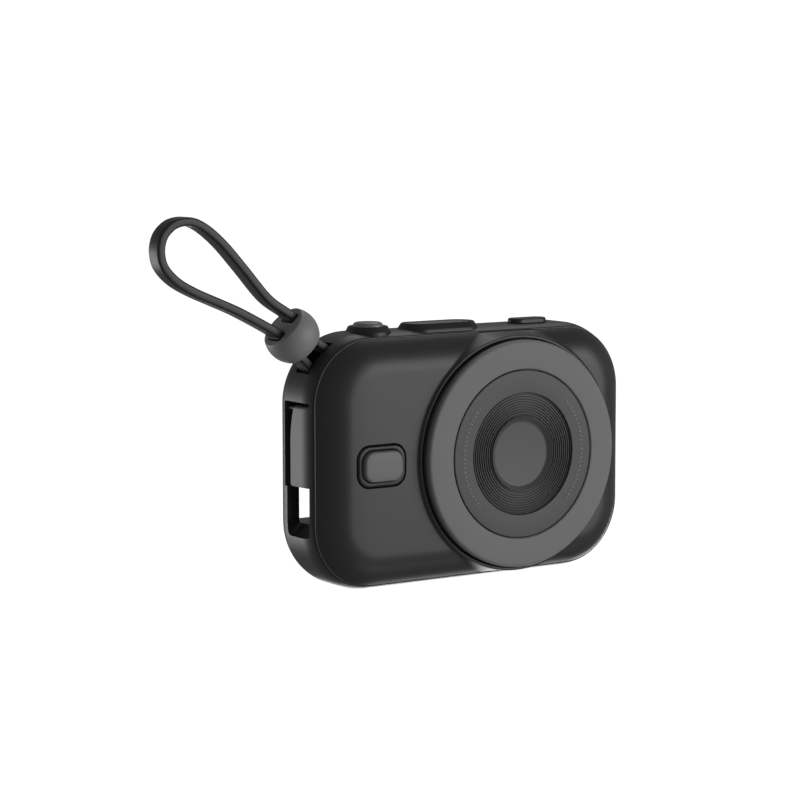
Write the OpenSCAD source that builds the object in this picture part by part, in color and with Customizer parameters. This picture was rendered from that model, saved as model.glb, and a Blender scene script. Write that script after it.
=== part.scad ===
// Pocket power bank styled as a compact camera: a round magnetic charging pad on the front,
// a sprung button beside it, a shutter-like button, a charge display and an oval button on top,
// a hinged port door in a side slot and a wrist strap with a sliding bead at one corner.
// X runs along the width, Y from the front to the back, Z up. The origin is the middle of the base.

/* [Body] */
// Width of the body
body_w = 95; // [92:1:100]
// Height of the body
body_h = 63.5; // [62:0.5:68]
// Depth of the body without the pad
body_d = 22.2; // [21.5:0.1:25]
// Corner radius seen from the front
corner_r = 17.3; // [16:0.1:19]
// Rounding of the front edge
front_round = 9.4; // [8.5:0.1:10]
// Rounding of the back edge
back_round = 6.2; // [5:0.1:7]
// Wall thickness of the shells
wall = 1.6; // [1.4:0.1:1.8]
// Distance of the seam between the shells behind the front face
seam_depth = 5; // [4.6:0.1:5.5]

/* [Charging pad] */
// Radius of the soft outer ring
pad_r = 28.7; // [28:0.1:28.8]
// Distance of the pad's centre from the body's centre, to the right
pad_x = 10.7; // [9:0.1:12]
// How far the pad stands out of the front face
pad_proud = 3.1; // [2.8:0.1:3.4]
// Inner radius of the soft outer ring
ring_in_r = 21.4; // [21:0.1:22]
// Outer radius of the grooved ring
groove_out_r = 15.4; // [15:0.1:16]
// Inner radius of the grooved ring
groove_in_r = 9.6; // [9:0.1:10]
// Number of fine grooves
groove_count = 9; // [6:1:9]

/* [Buttons] */
// Radius of the shutter button's cap
shutter_r = 3.82; // [3.6:0.02:3.9]
// Travel of the shutter button
shutter_travel = 0.6; // [0.4:0.1:0.7]
// Height of the shutter cap above the top face
shutter_h = 2.45; // [2.2:0.05:2.6]
// Length of the charge display
display_l = 22.4; // [20:0.1:22.6]
// Width of the charge display
display_w = 10.2; // [9.6:0.1:10.4]
// Length of the oval button
oval_l = 10.9; // [10:0.1:12]
// Width of the oval button
oval_w = 5; // [4.6:0.1:5.4]
// Width of the front button's pad
front_pad_w = 11; // [10.5:0.1:11.4]
// Height of the front button's pad
front_pad_h = 7.5; // [7.2:0.1:8]

/* [Side slot] */
// Width of the slot
slot_w = 9.3; // [9:0.1:9.6]
// Height of the slot's top edge above the base
slot_top = 47.2; // [46.5:0.1:47.5]
// Height of the door's lower edge above the base
door_low = 26.5; // [26.4:0.1:27]
// Thickness of the door
door_t = 2; // [1.8:0.1:2.2]

/* [Strap] */
// Width of the strap's flat band
strap_w = 4.9; // [4.6:0.1:5]
// Thickness of the strap's flat band
strap_t = 2.25; // [2.1:0.05:2.3]
// Largest radius of the bead
bead_r = 6.75; // [6.5:0.05:7]
// Distance of the bead's inner end from its middle
bead_half = 4.4; // [4.2:0.1:4.6]
// Distance of the bead's outer end from its middle
bead_out = 3.4; // [3.2:0.1:3.8]

/* [Hidden] */
$fn = 96;
eps = 0.01;

// faces of the body
half_depth = (body_d + pad_proud)/2;
face_y = pad_proud - half_depth;
back_y = half_depth;
seam_y = face_y + seam_depth;
seam_gap = 0.12;
mid_z = body_h/2;
side_x = -body_w/2;
corner_x = body_w/2 - corner_r;
corner_z = body_h - corner_r;

// charging pad, from its front face backwards
pad_front = -half_depth;
pad_seat = face_y + 1.2;
well_r = pad_r + 0.5;
boss_r = well_r + 0.8;
boss_foot_r = boss_r + 0.6;
boss_front = face_y - 0.7;
carrier_r = pad_r - 0.55;
carrier_front = pad_front + 1.5;
carrier_pocket = pad_seat - 1.7;
magnet_in_r = 23;
magnet_out_r = 27;
magnet_count = 18;
magnet_front = pad_seat - 1.2;
yoke_t = 0.3;
coil_in_r = 10;
coil_out_r = 21;
ferrite_t = 0.7;
floor_t = 1.2;
wire_hole_r = 6;

// top row of controls
top_y = 1.45;
shutter_x = -26.8;
display_x = -5.9;
oval_x = 22;
collar_r = 5;
collar_foot_r = 5.7;
collar_h = 1.45;
bezel_h = 1.5;
oval_h = 1.25;
oval_travel = 0.5;
press_gap = 0.08;
top_in = body_h - wall;
button_board_z = 57;
button_board_t = 1;
switch_h = 2;
plunger_h = 0.6;
stem_end = button_board_z + button_board_t + switch_h + plunger_h + shutter_travel + 0.1;
display_light_count = 4;

// front button
front_x = -30.1;
front_z = 31.5;
front_hole_w = 14.3;
front_hole_h = 10.6;
front_hole_r = 3.6;
front_proud = 1.45;
front_frame = 0.3;
frame_gap = 0.25;
front_travel = 0.5;

// boards
board_front = -1.55;
board_t = 1.2;
board_back = board_front + board_t;
board_left = -31;
board_right = 39.4;
board_low = 8;
board_high = 55;

// side slot, its finger scoop and the port
slot_y = 1.4;
finger_low = 16.8;
finger_high = 26.3;
gap_back = 7.1;
finger_in = -36;
window_x = -44.1;
scoop_r = 6;
scoop_x = side_x - 1.5;
scoop_z = 19.7;
recess_x = -42.8;
pod_wall = 1.4;
door_inset = 0.15;
door_in = side_x + door_inset + door_t;
door_y0 = slot_y - slot_w/2 + 0.15;
door_y1 = 4.7;
door_curve = 26;
door_bend_z = 37;
pin_x = -46.2;
pin_z = 45.5;
pin_r = 0.5;
base_pad_r = 1.25;
base_pad_h = 0.6;
barrel_r = 1.1;
port_z = 36;
port_w = 8.94;
port_t = 3.26;
port_y = board_back + port_t/2;
port_l = 7.4;

// battery
cell_left = -30;
cell_right = 39;
cell_low = 9;
cell_high = 54;
cell_front = 0.9;
cell_t = 4.5;
foam_t = 0.4;
tray_wall = 1.2;
tray_back = 9.6;
screw_spots = [[-24, 5.8], [26, 5.8], [42.2, 40], [-33.3, 47.6]];
ear_r = 2.3;
ear_t = 1.2;

// strap: its axis leaves the bridge at the corner along strap_angle
strap_y = 2;
strap_angle = 42;
bridge_r = 2.3;
bridge_depth = 4.7;
bridge_x = -corner_x - (corner_r - bridge_depth)*cos(45);
bridge_z = corner_z + (corner_r - bridge_depth)*sin(45);
pocket_r = 5;
pocket_w = 6;
bead_dist = 12.5;
run_gap = 2.85;

// Centre line of the strap, [x, z], from under the bridge, out along its upper run, round the
// loop, back along its lower run and under the bridge again
strap_route = [[-36.3, 52.9], [-35.6, 54.7], [-36, 56.8], [-37.7, 58.4], [-41.8, 61.4], [-44, 63.4],
    [-46.3, 65.4], [-48.5, 67.4], [-50.3, 69], [-56.1, 72.9], [-62.7, 80.2], [-68.2, 86.1], [-73, 90],
    [-76.9, 91.7], [-80.7, 91.4], [-83.3, 89.7], [-84.7, 87.5], [-85.1, 84.4], [-84.1, 81.1],
    [-80.9, 77.8], [-76.1, 75.1], [-69.5, 72.3], [-63.5, 69.7], [-54.1, 64.8], [-52.3, 63.2],
    [-50.1, 61.2], [-47.9, 59.1], [-45.6, 57.1], [-42.2, 53.3], [-40.4, 51.8], [-38.3, 51.6],
    [-36.8, 52.4]];
strap_steps = 2;

// ---- outlines ----

// half profile of the body's edge: x outwards, y from the front to the back
module edge_profile(r, d, rf, rb) {
    intersection() {
        square([r, d]);
        union() {
            translate([0, rf]) square([r, d - rf - rb]);
            square([r - rf, d]);
            translate([r - rf, rf]) circle(rf);
            translate([r - rb, d - rb]) circle(rb);
            translate([0, d - rb - 1]) square([r - rb, rb + 1]);
        }
    }
}

// rounded block, front face at z = 0: four turned corners, four straight edges and a core
module rounded_block(w, h, d, r, rf, rb) {
    cx = w/2 - r;
    cy = h/2 - r;
    for (side = [0, 1]) mirror([side, 0, 0]) for (end = [0, 1]) mirror([0, end, 0])
        translate([cx, cy, 0]) rotate_extrude(angle = 90) edge_profile(r, d, rf, rb);
    for (side = [0, 1]) mirror([side, 0, 0]) translate([cx, 0, 0]) rotate([90, 0, 0])
        linear_extrude(2*cy, center = true) edge_profile(r, d, rf, rb);
    for (end = [0, 1]) mirror([0, end, 0]) translate([0, cy, 0]) rotate([90, 0, 90])
        linear_extrude(2*cx, center = true) edge_profile(r, d, rf, rb);
    translate([-cx, -cy, 0]) cube([2*cx, 2*cy, d]);
}

// the body's outer form, drawn in by inset on every side
module body_form(inset) {
    translate([0, face_y + inset, mid_z]) rotate([-90, 0, 0])
        rounded_block(body_w - 2*inset, body_h - 2*inset, body_d - 2*inset,
            corner_r - inset, front_round - inset, back_round - inset);
}

// box between two corners
module span(a, b) {
    translate(a) cube(b - a);
}

// turned shape about the pad's axis: profile x is the radius, profile y is the depth
module on_pad_axis() {
    translate([pad_x, 0, mid_z]) rotate([-90, 0, 0]) rotate_extrude() children();
}

// raised collar round the pad, a little wider at its foot
module pad_collar() {
    translate([pad_x, boss_front, mid_z]) rotate([-90, 0, 0])
        cylinder(r1 = boss_r, r2 = boss_foot_r, h = seam_y - boss_front);
}

// disc about the pad's axis
module pad_disc(r, y0, y1) {
    translate([pad_x, y0, mid_z]) rotate([-90, 0, 0]) cylinder(r = r, h = y1 - y0);
}

// rod along Y
module rod_y(x, z, r, y0, y1) {
    translate([x, y0, z]) rotate([-90, 0, 0]) cylinder(r = r, h = y1 - y0);
}

// ring profile with its front edges rounded
module ring_profile(r0, r1, y0, y1, e0, e1) {
    translate([r0 + e0, y0]) square([r1 - r0 - e0 - e1, y1 - y0]);
    translate([r0, y0 + e0]) square([r1 - r0, y1 - y0 - e0]);
    if (e0 > 0) translate([r0 + e0, y0 + e0]) circle(e0);
    translate([r0, y0 + e1]) square([r1 - r0, y1 - y0 - e1]);
    if (e1 > 0) translate([r1 - e1, y0 + e1]) circle(e1);
}

// flat oval, long side along X
module oval(l, w) {
    square([l - w, w], center = true);
    for (s = [-1, 1]) translate([s*(l - w)/2, 0]) circle(d = w);
}

// rectangle with round corners
module round_rect(w, h, r) {
    square([w - 2*r, h], center = true);
    square([w, h - 2*r], center = true);
    for (sx = [-1, 1], sy = [-1, 1]) translate([sx*(w/2 - r), sy*(h/2 - r)]) circle(r);
}

// upright prism on the top row
module on_top(x, z0, z1) {
    translate([x, top_y, z0]) linear_extrude(z1 - z0) children();
}

// prism through the front face, its outline drawn in X and Z
module on_front(x, z, y0, y1) {
    translate([x, y0, z]) rotate([-90, 0, 0]) linear_extrude(y1 - y0) children();
}

// prism along X, its outline drawn in Y (as x) and Z (as y)
module along_x(x0, x1, y, z) {
    translate([x0, y, z]) rotate([90, 0, 90]) linear_extrude(x1 - x0) children();
}

// frame of the strap: local X along the strap away from the corner, local Z across its runs
module on_strap() {
    translate([bridge_x, strap_y, bridge_z]) rotate([0, 180 + strap_angle, 0]) mirror([0, 0, 1])
        children();
}

// ---- shells ----

module front_shell() color([0.2, 0.2, 0.21]) {
    difference() {
        intersection() {
            union() {
                body_form(0);
                pad_collar();
            }
            span([side_x - 1, boss_front - 1, -1], [-side_x + 1, seam_y - seam_gap/2, body_h + 1]);
        }
        difference() {
            body_form(wall);
            pad_disc(boss_r, face_y, pad_seat + floor_t);
            for (s = screw_spots) rod_y(s[0], s[1], 2.2, face_y, seam_y + 4);
        }
        pad_disc(well_r, boss_front - 1, pad_seat);
        pad_disc(wire_hole_r, face_y, seam_y);
        on_front(front_x, front_z, face_y - 1, seam_y)
            round_rect(front_hole_w, front_hole_h, front_hole_r);
        for (s = screw_spots) rod_y(s[0], s[1], 0.8, face_y + 2.6, seam_y + 4);
    }
    for (s = screw_spots) difference() {
        rod_y(s[0], s[1], 2.2, seam_y - 1, board_back);
        rod_y(s[0], s[1], 0.8, face_y + 2.6, seam_y + 4.5);
    }
}

// solid round the slot, inside the body
module slot_pod() {
    y0 = slot_y - slot_w/2 - pod_wall;
    span([side_x, y0, 12], [finger_in + pod_wall, back_y, finger_high + pod_wall]);
    span([side_x, y0, finger_high], [recess_x + pod_wall, gap_back + pod_wall, slot_top + pod_wall]);
}

// space of the slot: the port recess, the finger scoop and the window to the back
module slot_space() {
    y0 = slot_y - slot_w/2;
    y1 = slot_y + slot_w/2;
    span([side_x - 2, y0, finger_low], [recess_x, y1, slot_top]);
    span([side_x - 2, y0, door_low - 0.2], [recess_x, gap_back, slot_top]);
    span([recess_x - 1, y0, finger_low], [finger_in, y1, finger_high]);
    rod_y(scoop_x, scoop_z, scoop_r, y0, y1);
    span([window_x, slot_y, finger_low], [finger_in, back_y + 1, finger_high]);
}

// pocket for the strap's two ends in the corner
module strap_pocket() {
    on_strap() {
        rotate([90, 0, 0]) cylinder(r = pocket_r, h = pocket_w, center = true);
        translate([0, -pocket_w/2, -pocket_r]) cube([9, pocket_w, 2*pocket_r]);
    }
}

module rear_shell() color([0.2, 0.2, 0.21]) {
    difference() {
        intersection() {
            body_form(0);
            span([side_x - 1, seam_y + seam_gap/2, -1], [-side_x + 1, back_y + 1, body_h + 1]);
        }
        difference() {
            body_form(wall);
            slot_pod();
            rod_y(bridge_x, bridge_z, pocket_r + pod_wall, strap_y - pocket_w/2 - pod_wall,
                strap_y + pocket_w/2 + pod_wall);
        }
        slot_space();
        rod_y(pin_x, pin_z, pin_r + 0.02, slot_y - slot_w/2 - 1, gap_back + 1);
        along_x(recess_x - 1, recess_x + 3, port_y, port_z) round_rect(port_t + 0.2, port_w + 0.2, 1.3);
        strap_pocket();
        at_base_pads() translate([0, 0, -1]) cylinder(r = base_pad_r + 0.05, h = base_pad_h + 1);
        translate([shutter_x, top_y, top_in - 1]) cylinder(r = shutter_r - 0.9, h = 4);
        on_top(display_x, top_in - 1, body_h + 1) oval(display_l - 6, display_w - 5);
        on_top(oval_x, top_in - 1, body_h + 1) oval(oval_l + 2*press_gap, oval_w + 2*press_gap);
    }
    rod_y(bridge_x, bridge_z, bridge_r, strap_y - pocket_w/2 - 0.5, strap_y + pocket_w/2 + 0.5);
}

// Four places near the corners of the level base
module at_base_pads() {
    for (x = [-26, 26], y = [0.5, 6]) translate([x, y, 0]) children();
}

// Soft pads flush with the base, which keep the body from sliding
module base_pads() color([0.12, 0.12, 0.12]) {
    at_base_pads() cylinder(r = base_pad_r, h = base_pad_h);
}

// ---- charging pad ----

module pad_carrier() color([0.1, 0.1, 0.1]) {
    on_pad_axis() difference() {
        ring_profile(0, carrier_r, carrier_front, pad_seat, 0, 0.3);
        translate([0, carrier_pocket]) square([22, 3]);
        translate([magnet_in_r - 0.05, magnet_front]) square([magnet_out_r - magnet_in_r + 0.1, 3]);
    }
}

module pad_ring() color([0.4, 0.4, 0.41]) {
    on_pad_axis() ring_profile(ring_in_r, pad_r, pad_front, carrier_front, 0.45, 0.7);
}

module pad_plate() color([0.33, 0.33, 0.34]) {
    on_pad_axis() ring_profile(groove_out_r + 0.05, ring_in_r - 0.3, pad_front + 0.1, carrier_front,
        0.25, 0.35);
}

module groove_ring() color([0.12, 0.12, 0.12]) {
    pitch = (groove_out_r - groove_in_r)/groove_count;
    on_pad_axis() difference() {
        translate([groove_in_r, pad_front + 0.25]) square([groove_out_r - groove_in_r,
            carrier_front - pad_front - 0.25]);
        for (i = [0 : groove_count - 1])
            translate([groove_in_r + pitch*(i + 0.3), pad_front]) square([0.4*pitch, 0.65]);
    }
}

module centre_dish() color([0.28, 0.28, 0.29]) {
    floor_r = groove_in_r - 2.6;
    on_pad_axis() polygon([[0, pad_front + 0.95], [floor_r, pad_front + 0.95],
        [groove_in_r - 0.15, pad_front + 0.3], [groove_in_r - 0.05, pad_front + 0.4],
        [groove_in_r - 0.05, carrier_front], [0, carrier_front]]);
}

module magnet_ring() color([0.7, 0.7, 0.72]) {
    gap = 1.2;
    for (i = [0 : magnet_count - 1])
        translate([pad_x, magnet_front, mid_z]) rotate([-90, 0, 0])
            rotate([0, 0, 360/magnet_count*i + gap]) rotate_extrude(angle = 360/magnet_count - 2*gap)
                translate([magnet_in_r, 0]) square([magnet_out_r - magnet_in_r, 0.85]);
}

module magnet_yoke() color([0.55, 0.55, 0.56]) {
    on_pad_axis() translate([magnet_in_r, magnet_front + 0.87])
        square([magnet_out_r - magnet_in_r, yoke_t]);
}

module charging_coil() color([0.72, 0.42, 0.22]) {
    turns = 12;
    pitch = (coil_out_r - coil_in_r)/turns;
    on_pad_axis() difference() {
        translate([coil_in_r, carrier_pocket + 0.02])
            square([coil_out_r - coil_in_r, pad_seat - ferrite_t - carrier_pocket - 0.04]);
        for (i = [1 : turns - 1])
            translate([coil_in_r + pitch*i - 0.06, carrier_pocket]) square([0.12, 0.25]);
    }
}

module ferrite_sheet() color([0.24, 0.24, 0.25]) {
    pad_disc(21.8, pad_seat - ferrite_t, pad_seat - 0.02);
}

// ---- front button ----

module front_button_bezel() color([0.07, 0.07, 0.07]) {
    difference() {
        union() {
            on_front(front_x, front_z, face_y - front_frame, face_y + 2.4)
                round_rect(front_hole_w - 2*frame_gap, front_hole_h - 2*frame_gap,
                    front_hole_r - frame_gap);
            on_front(front_x, front_z, face_y + wall + 0.02, face_y + 2.4)
                round_rect(front_hole_w + 1.2, front_hole_h + 2, front_hole_r);
        }
        on_front(front_x, front_z, face_y - 1, face_y + 3)
            round_rect(front_pad_w + 2*press_gap, front_pad_h + 2*press_gap, 2.7 + press_gap);
    }
}

module front_button() color([0.4, 0.4, 0.41]) {
    on_front(front_x, front_z, face_y - front_proud + 0.35, face_y + 2.3)
        round_rect(front_pad_w, front_pad_h, 2.7);
    on_front(front_x, front_z, face_y - front_proud, face_y)
        round_rect(front_pad_w - 0.7, front_pad_h - 0.7, 2.35);
    rod_y(front_x, front_z, 1.5, face_y + 2, board_front - 1.5 - plunger_h - front_travel - 0.1);
}

module front_switch() color([0.75, 0.75, 0.74]) {
    span([front_x - 2.6, board_front - 1.5, front_z - 2.6], [front_x + 2.6, board_front, front_z + 2.6]);
    rod_y(front_x, front_z, 1.2, board_front - 1.5 - plunger_h, board_front - 1);
}

// ---- top row ----

module shutter_collar() color([0.08, 0.08, 0.08]) {
    difference() {
        translate([shutter_x, top_y, 0]) rotate_extrude() difference() {
            polygon([[0, body_h - 1], [collar_foot_r, body_h - 1], [collar_foot_r, body_h],
                [collar_r, body_h + collar_h - 0.45], [collar_r - 0.45, body_h + collar_h],
                [0, body_h + collar_h]]);
            translate([-1, body_h - 3]) square([1 + shutter_r + press_gap, 6]);
        }
        body_form(0);
    }
}

module shutter_button() color([0.56, 0.56, 0.57]) {
    cap_top = body_h + shutter_h;
    translate([shutter_x, top_y, 0]) rotate_extrude() {
        translate([0, body_h + shutter_travel + 0.05])
            square([shutter_r, shutter_h - shutter_travel - 0.55]);
        square_h = shutter_h - shutter_travel - 0.05;
        translate([0, cap_top - square_h]) square([shutter_r - 0.5, square_h]);
        intersection() {
            translate([shutter_r - 0.5, cap_top - 0.5]) circle(0.5);
            translate([0, cap_top - 1]) square([shutter_r, 1]);
        }
        translate([0, stem_end]) square([1.6, body_h + 1 - stem_end]);
    }
}

module display_bezel() color([0.08, 0.08, 0.08]) {
    difference() {
        union() {
            on_top(display_x, body_h - 0.9, body_h + 0.5) oval(display_l, display_w);
            on_top(display_x, body_h - 0.9, body_h + 1) oval(display_l - 0.9, display_w - 0.9);
            on_top(display_x, body_h - 0.9, body_h + bezel_h) oval(display_l - 2, display_w - 2);
        }
        on_top(display_x, body_h + bezel_h - 0.75, body_h + 3) oval(display_l - 3.2, display_w - 3.2);
        on_top(display_x, body_h - 2, body_h + 3) oval(display_l - 6, display_w - 5);
        body_form(0);
    }
}

module display_window() color([0.03, 0.03, 0.035]) {
    on_top(display_x, body_h + bezel_h - 0.73, body_h + bezel_h - 0.15)
        oval(display_l - 3.3, display_w - 3.3);
}

module display_lights() color([0.85, 0.87, 0.9]) {
    for (i = [0 : display_light_count - 1])
        translate([display_x + (i - 1.5)*3 - 0.6, top_y - 0.4, body_h - 0.6]) cube([1.2, 0.8, 0.7]);
}

module oval_button() color([0.08, 0.08, 0.08]) {
    on_top(oval_x, body_h - 1.1, body_h + oval_h - 0.35) oval(oval_l, oval_w);
    on_top(oval_x, body_h - 1.1, body_h + oval_h) oval(oval_l - 0.8, oval_w - 0.8);
    translate([oval_x, top_y, stem_end - 0.1]) cylinder(r = 1.6, h = body_h - 1 - stem_end + 0.1);
}

module top_switches() color([0.75, 0.75, 0.74]) {
    base = button_board_z + button_board_t;
    for (x = [shutter_x, oval_x]) {
        span([x - 2.6, top_y - 2.6, base], [x + 2.6, top_y + 2.6, base + switch_h]);
        translate([x, top_y, base + 1]) cylinder(r = 1.2, h = switch_h + plunger_h - 1);
    }
}

module button_board() color([0.05, 0.25, 0.15]) {
    span([-31, top_y - 3.4, button_board_z], [28, top_y + 3.4, button_board_z + button_board_t]);
}

// ---- electronics ----

module main_board() color([0.05, 0.25, 0.15]) {
    difference() {
        union() {
            span([board_left, board_front, board_low], [board_right, board_back, board_high]);
            span([recess_x + pod_wall + 0.2, board_front, 30], [board_left + 1, board_back, 42]);
        }
        for (s = screw_spots) rod_y(s[0], s[1], 2.6, board_front - 1, board_back + 1);
    }
}

module board_chips() color([0.06, 0.06, 0.06]) {
    for (c = [[-20, 18, 5, 1], [-9, 20, 6, 0.9], [-18, 44, 4, 1], [2, 47, 7, 0.9], [30, 12, 5, 1]])
        span([c[0], board_front - c[3], c[1]], [c[0] + c[2], board_front, c[1] + c[2]]);
}

module power_inductor() color([0.3, 0.3, 0.32]) {
    translate([-20, board_front, 31]) rotate([90, 0, 0])
        linear_extrude(3) round_rect(7, 7, 1.2);
}

module usb_socket_shell() color([0.75, 0.75, 0.76]) {
    difference() {
        along_x(recess_x, recess_x + port_l, port_y, port_z) round_rect(port_t, port_w, 1.2);
        along_x(recess_x - 1, recess_x + port_l - 0.8, port_y, port_z)
            round_rect(port_t - 0.6, port_w - 0.6, 1);
    }
}

module usb_socket_tongue() color([0.05, 0.05, 0.05]) {
    span([recess_x + 0.8, port_y - 0.35, port_z - 3.3],
        [recess_x + port_l - 0.8, port_y + 0.35, port_z + 3.3]);
}

// ---- port door ----

module port_door() color([0.19, 0.19, 0.2]) {
    difference() {
        intersection() {
            body_form(door_inset);
            union() {
                along_x(side_x, door_in, 0, 0) door_outline();
                intersection() {
                    rod_y(pin_x, pin_z, barrel_r, door_y0, door_y1);
                    along_x(side_x, door_in + 2, 0, 0) door_outline();
                }
            }
        }
        rod_y(pin_x, pin_z, pin_r + 0.04, door_y0 - 1, door_y1 + 1);
        difference() {
            span([side_x - 1, door_y0 - 1, pin_z], [door_in + 2, door_y1 + 1, pin_z + 4]);
            rod_y(pin_x, pin_z, barrel_r, door_y0 - 1, door_y1 + 1);
        }
    }
}

// outline of the door in Y and Z, its rear edge curving forwards towards the top
module door_outline() {
    translate([door_y0, door_low]) square([door_y1 - door_y0, door_bend_z - door_low]);
    intersection() {
        translate([door_y1 - door_curve, door_bend_z]) circle(door_curve);
        translate([door_y0, door_bend_z - 0.1]) square([door_y1 - door_y0, slot_top - door_bend_z]);
    }
}

module door_pin() color([0.7, 0.7, 0.72]) {
    rod_y(pin_x, pin_z, pin_r, slot_y - slot_w/2 - 0.9, gap_back + 0.9);
}

module door_seal() color([0.12, 0.12, 0.12]) {
    seat = door_in;
    difference() {
        along_x(seat, seat + 1.9, port_y, port_z) round_rect(5.6, 11.4, 2);
        along_x(seat - 1, seat + 3, port_y, port_z) round_rect(3.8, 9.6, 1.4);
    }
}

// ---- battery ----

module battery_cell(y0) {
    span([cell_left, y0, cell_low], [cell_right, y0 + cell_t, cell_high]);
}

module battery_cell_front() color([0.62, 0.65, 0.7]) {
    battery_cell(cell_front);
}

module battery_cell_rear() color([0.62, 0.65, 0.7]) {
    battery_cell(cell_front + cell_t + foam_t);
}

module cell_foam() color([0.15, 0.15, 0.15]) {
    span([cell_left + 4, cell_front + cell_t, cell_low + 4],
        [cell_right - 4, cell_front + cell_t + foam_t, cell_high - 4]);
}

module battery_tray() color([0.16, 0.16, 0.17]) {
    gap = 0.15;
    difference() {
        union() {
            span([cell_left - gap - tray_wall, board_back + 0.1, cell_low - gap - tray_wall],
                [cell_right + gap + tray_wall, tray_back, cell_high + gap + tray_wall]);
            for (s = screw_spots) rod_y(s[0], s[1], ear_r, board_back + 0.1, board_back + 0.1 + ear_t);
        }
        span([cell_left - gap, cell_front, cell_low - gap],
            [cell_right + gap, tray_back + 1, cell_high + gap]);
        span([cell_left + 3, board_back - 1, cell_low + 3],
            [cell_right - 3, tray_back, cell_high - 3]);
        for (s = screw_spots) rod_y(s[0], s[1], 1, board_back - 1, cell_front + 2);
    }
}

module tray_screws() color([0.6, 0.6, 0.62]) {
    seat = board_back + 0.1 + ear_t;
    for (s = screw_spots) difference() {
        union() {
            rod_y(s[0], s[1], 1.7, seat, seat + 0.9);
            rod_y(s[0], s[1], 0.78, seat - 5, seat + 0.5);
        }
        translate([s[0] - 0.9, seat + 0.5, s[1] - 0.15]) cube([1.8, 1, 0.3]);
        translate([s[0] - 0.15, seat + 0.5, s[1] - 0.9]) cube([0.3, 1, 1.8]);
    }
}

// ---- strap and bead ----

// point of a smooth curve through p1 and p2 at t
function curve(p0, p1, p2, p3, t) = 0.5*(2*p1 + (p2 - p0)*t + (2*p0 - 5*p1 + 4*p2 - p3)*t*t
    + (3*p1 - p0 - 3*p2 + p3)*t*t*t);
function clamp(i) = max(0, min(len(strap_route) - 1, i));
function route_at(i, t) = curve(strap_route[clamp(i - 1)], strap_route[i], strap_route[clamp(i + 1)],
    strap_route[clamp(i + 2)], t);
strap_line = [for (i = [0 : len(strap_route) - 2], k = [0 : strap_steps - 1]) route_at(i, k/strap_steps),
    strap_route[len(strap_route) - 1]];
function heading(i) = let (d = strap_line[min(i + 1, len(strap_line) - 1)] - strap_line[max(i - 1, 0)])
    d/norm(d);
strap_section = let (a = strap_w/2, b = strap_t/2, c = strap_t*0.3)
    [[a - c, b], [c - a, b], [-a, b - c], [-a, c - b], [c - a, -b], [a - c, -b], [a, c - b], [a, b - c]];
function ring(i) = let (p = strap_line[i], h = heading(i))
    [for (s = strap_section) [p[0] - h[1]*s[1], strap_y + s[0], p[1] + h[0]*s[1]]];

module strap() color([0.22, 0.22, 0.23]) {
    sides = len(strap_section);
    last = len(strap_line) - 1;
    polyhedron(points = [for (i = [0 : last]) each ring(i)],
        faces = concat([[for (k = [0 : sides - 1]) k]],
            [for (i = [0 : last - 1], k = [0 : sides - 1]) [i*sides + (k + 1)%sides, i*sides + k,
                (i + 1)*sides + k, (i + 1)*sides + (k + 1)%sides]],
            [[for (k = [0 : sides - 1]) last*sides + sides - 1 - k]]));
}

module bead() color([0.36, 0.36, 0.37]) {
    on_strap() translate([bead_dist, 0, 0]) difference() {
        intersection() {
            sphere(r = bead_r);
            translate([-bead_half, -8, -8]) cube([bead_half + bead_out, 16, 16]);
        }
        for (s = [-1, 1]) along_x(-bead_half - 1, bead_half + 1, 0, s*run_gap)
            round_rect(strap_w + 0.6, strap_t + 0.6, 0.7);
    }
}

front_shell();
rear_shell();
pad_carrier();
pad_ring();
pad_plate();
groove_ring();
centre_dish();
magnet_ring();
magnet_yoke();
charging_coil();
ferrite_sheet();
front_button_bezel();
front_button();
front_switch();
shutter_collar();
shutter_button();
display_bezel();
display_window();
display_lights();
oval_button();
top_switches();
button_board();
main_board();
board_chips();
power_inductor();
usb_socket_shell();
usb_socket_tongue();
port_door();
door_pin();
door_seal();
battery_cell_front();
battery_cell_rear();
cell_foam();
battery_tray();
tray_screws();
base_pads();
strap();
bead();
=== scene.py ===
"""Camera-styled magnetic power bank: shells, charging pad, buttons, port door, strap and bead."""

import math

import bmesh
import bpy
from mathutils import Matrix, Vector


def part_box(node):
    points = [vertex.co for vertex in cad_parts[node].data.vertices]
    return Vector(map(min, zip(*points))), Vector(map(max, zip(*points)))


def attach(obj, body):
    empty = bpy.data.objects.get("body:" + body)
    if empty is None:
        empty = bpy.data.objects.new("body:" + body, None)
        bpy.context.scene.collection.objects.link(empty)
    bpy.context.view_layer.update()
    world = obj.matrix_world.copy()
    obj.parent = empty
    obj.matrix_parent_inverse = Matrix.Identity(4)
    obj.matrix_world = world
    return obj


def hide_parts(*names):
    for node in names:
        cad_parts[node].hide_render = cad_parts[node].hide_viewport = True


bl_info = {
    "name": "Pocket power bank",
    "version": (1, 0, 0),
    "blender": (4, 5, 0),
    "location": "View3D > Sidebar > Power bank",
    "description": "Builds the visible pieces of a camera-styled power bank on its CAD frame",
    "category": "Object",
}

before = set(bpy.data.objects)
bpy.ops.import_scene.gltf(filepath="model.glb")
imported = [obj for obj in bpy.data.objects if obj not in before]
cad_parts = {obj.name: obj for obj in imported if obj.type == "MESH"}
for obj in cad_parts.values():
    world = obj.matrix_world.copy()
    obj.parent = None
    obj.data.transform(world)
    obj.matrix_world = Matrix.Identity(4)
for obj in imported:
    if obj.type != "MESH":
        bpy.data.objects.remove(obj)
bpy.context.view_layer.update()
MM = 0.001


def node_box(node):
    """Lowest and highest corner of a CAD node, in millimetres."""
    low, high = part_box(node)
    return Vector(low) / MM, Vector(high) / MM


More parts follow.
